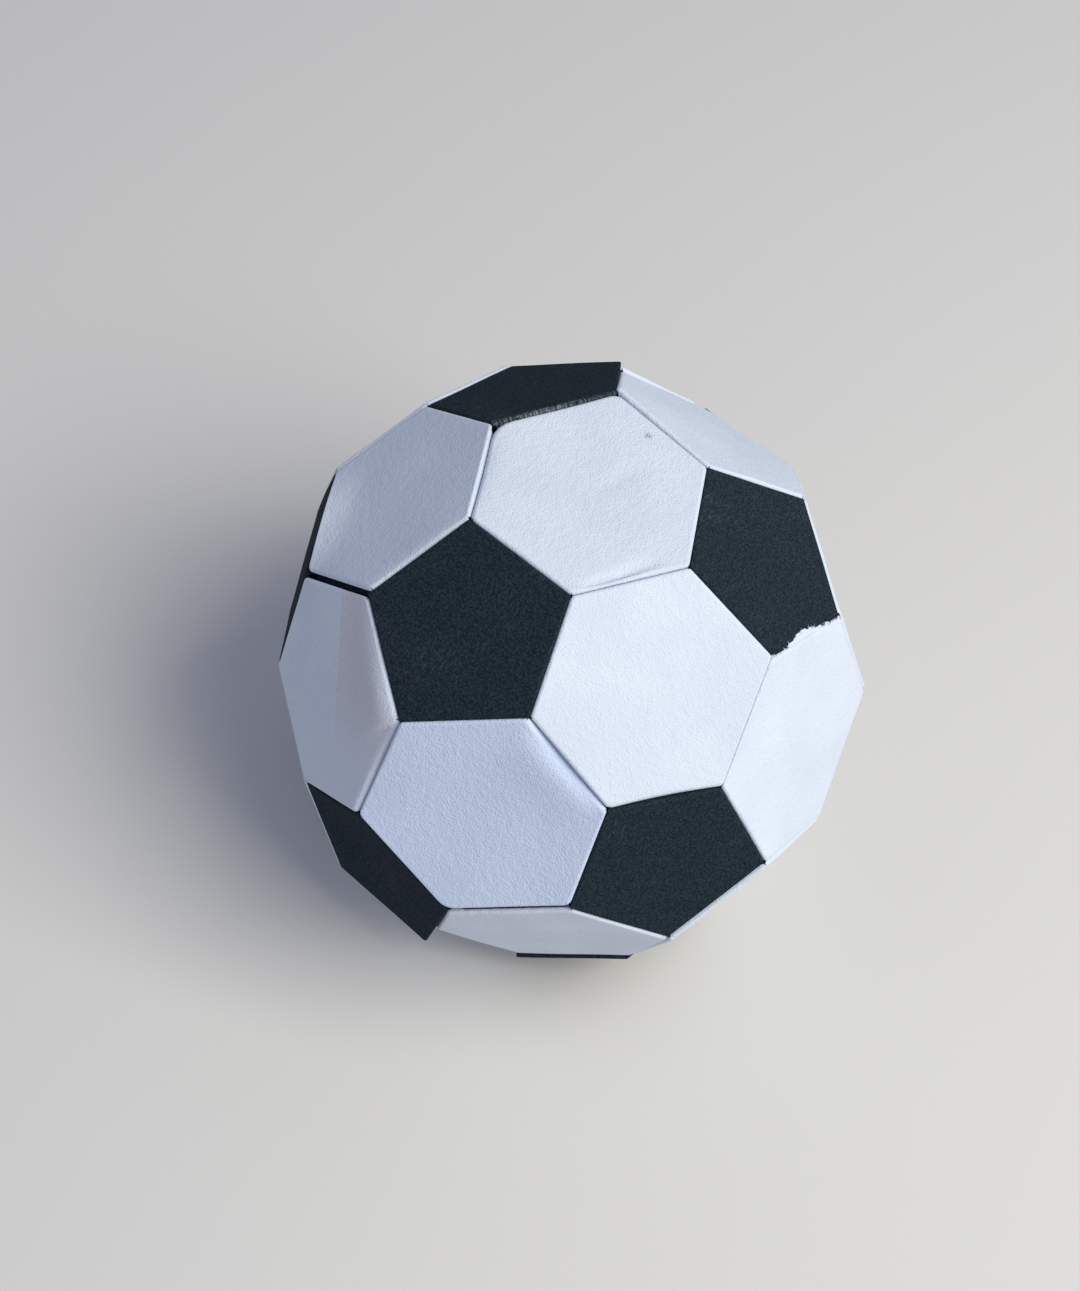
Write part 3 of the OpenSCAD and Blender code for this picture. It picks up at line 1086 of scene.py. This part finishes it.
class PAPERBALL_OT_painted_shade_strips(bpy.types.Operator):
    """Puts strips of black paper at the bottom of the widest gaps between units, as painted shade."""

    bl_idname = "paperball.gap_strips"
    bl_label = "Gap strips"

    def execute(self, context):
        handmade = Handmade(context.scene)
        material = bpy.data.materials["folded_black_paper"]
        for k, ((key, neighbour), strip) in enumerate(PAINTED_SHADE_GAPS.items(), 1):
            skin = self.strip(Seam(UNITS[key], neighbour, handmade), *strip)
            piece = paper_object(f"painted_shade_strip_{k}", *skin, material, handmade.hand.lip_thickness)
            keep_piece(piece, "black_paper")
        return {"FINISHED"}

    def strip(self, seam, width, depth, first, last):
        """A strip of black paper at the bottom of a gaping seam, as painted shade."""
        shares = np.linspace(first, last, SIDE_STEPS)
        rows = [[seam.place(s, across, -depth) for s in shares] for across in (-width / 2, 0, width / 2)]
        places = [p for row in rows for p in row]
        return places, quads(len(rows), SIDE_STEPS, set(range(SIDE_STEPS))), np.zeros(len(places))


class PAPERBALL_OT_stage(bpy.types.Operator):
    """Sets up the camera, the lamp, the floor and the sky."""

    bl_idname = "paperball.stage"
    bl_label = "Stage"

    def execute(self, context):
        scene = context.scene
        self.add_camera(scene)
        self.add_lamp(scene)
        self.add_floor(scene)
        self.add_sky(scene)
        scene.view_settings.view_transform = "Standard"
        return {"FINISHED"}

    def add_camera(self, scene):
        """The photograph's camera."""
        view = scene.paperball_view
        seen = PhotoCamera(view)
        data = bpy.data.cameras.new("camera")
        data.lens = view.focal * data.sensor_width / max(view.width, view.height)
        data.clip_start = NEAREST_DRAWN
        camera = bpy.data.objects.new("camera", data)
        turn = Matrix((seen.right, -seen.down, -seen.forward)).transposed()
        camera.matrix_world = Matrix.Translation(seen.location) @ turn.to_4x4()
        scene.collection.objects.link(camera)
        scene.camera = camera

    def add_lamp(self, scene):
        """A large soft lamp, as from a window at the side."""
        stage = scene.paperball_stage
        data = bpy.data.lights.new("lamp", "AREA")
        data.energy = stage.lamp_power
        data.color = stage.lamp_colour
        data.size = stage.lamp_size
        lamp = bpy.data.objects.new("lamp", data)
        a, e = stage.lamp_azimuth, stage.lamp_elevation
        back = np.array((math.sin(a) * math.cos(e), -math.cos(a) * math.cos(e), math.sin(e)))
        side = unit_vector(np.cross((0.0, 0.0, 1.0), back))
        turn = Matrix((side, np.cross(back, side), back)).transposed()
        lamp.matrix_world = Matrix.Translation(CENTRE + stage.lamp_distance * back) @ turn.to_4x4()
        scene.collection.objects.link(lamp)

    def add_floor(self, scene):
        """A plain pale floor under the ball."""
        stage = scene.paperball_stage
        half = stage.floor_size / 2
        corners = ((-half, -half), (half, -half), (half, half), (-half, half))
        mesh = bpy.data.meshes.new("floor")
        mesh.from_pydata([(x, y, CAD_LOW.z) for x, y in corners], [], [(0, 1, 2, 3)])
        material = bpy.data.materials.new("floor")
        material.use_nodes = True
        shader = material.node_tree.nodes["Principled BSDF"]
        shader.inputs["Base Color"].default_value = (*stage.floor, 1)
        shader.inputs["Roughness"].default_value = stage.floor_roughness
        mesh.materials.append(material)
        floor = bpy.data.objects.new("floor", mesh)
        scene.collection.objects.link(floor)

    def add_sky(self, scene):
        """Even light from all round."""
        world = bpy.data.worlds.new("sky")
        world.use_nodes = True
        sky = world.node_tree.nodes["Background"]
        sky.inputs["Color"].default_value = (*scene.paperball_stage.sky, 1)
        sky.inputs["Strength"].default_value = scene.paperball_stage.sky_strength
        scene.world = world


OPERATORS = (
    PAPERBALL_OT_white_hexagons,
    PAPERBALL_OT_black_pentagons,
    PAPERBALL_OT_torn_edge,
    PAPERBALL_OT_painted_shade_strips,
    PAPERBALL_OT_stage,
)


class PAPERBALL_PT_sidebar(bpy.types.Panel):
    """The steps that dress the ball."""

    bl_label = "Paper ball"
    bl_idname = "PAPERBALL_PT_sidebar"
    bl_space_type = "VIEW_3D"
    bl_region_type = "UI"
    bl_category = "Paper ball"

    def draw(self, context):
        for operator in OPERATORS:
            self.layout.operator(operator.bl_idname)


SETTINGS = {
    "paperball_white": WhitePaper,
    "paperball_black": BlackPaper,
    "paperball_hand": Handwork,
    "paperball_view": PhotoView,
    "paperball_stage": Stage,
}


def register():
    """Registers the settings, the operators and the panel."""
    for name, group in SETTINGS.items():
        bpy.utils.register_class(group)
        setattr(bpy.types.Scene, name, bpy.props.PointerProperty(type=group))
    for kind in (*OPERATORS, PAPERBALL_PT_sidebar):
        bpy.utils.register_class(kind)


def unregister():
    """Takes out what register put in."""
    for kind in (PAPERBALL_PT_sidebar, *reversed(OPERATORS)):
        bpy.utils.unregister_class(kind)
    for name, group in reversed(SETTINGS.items()):
        delattr(bpy.types.Scene, name)
        bpy.utils.unregister_class(group)


def main():
    """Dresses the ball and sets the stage."""
    register()
    bpy.ops.paperball.white_hexagons()
    bpy.ops.paperball.black_pentagons()
    bpy.ops.paperball.torn_edge()
    bpy.ops.paperball.gap_strips()
    bpy.ops.paperball.stage()


if __name__ == "__main__":
    main()
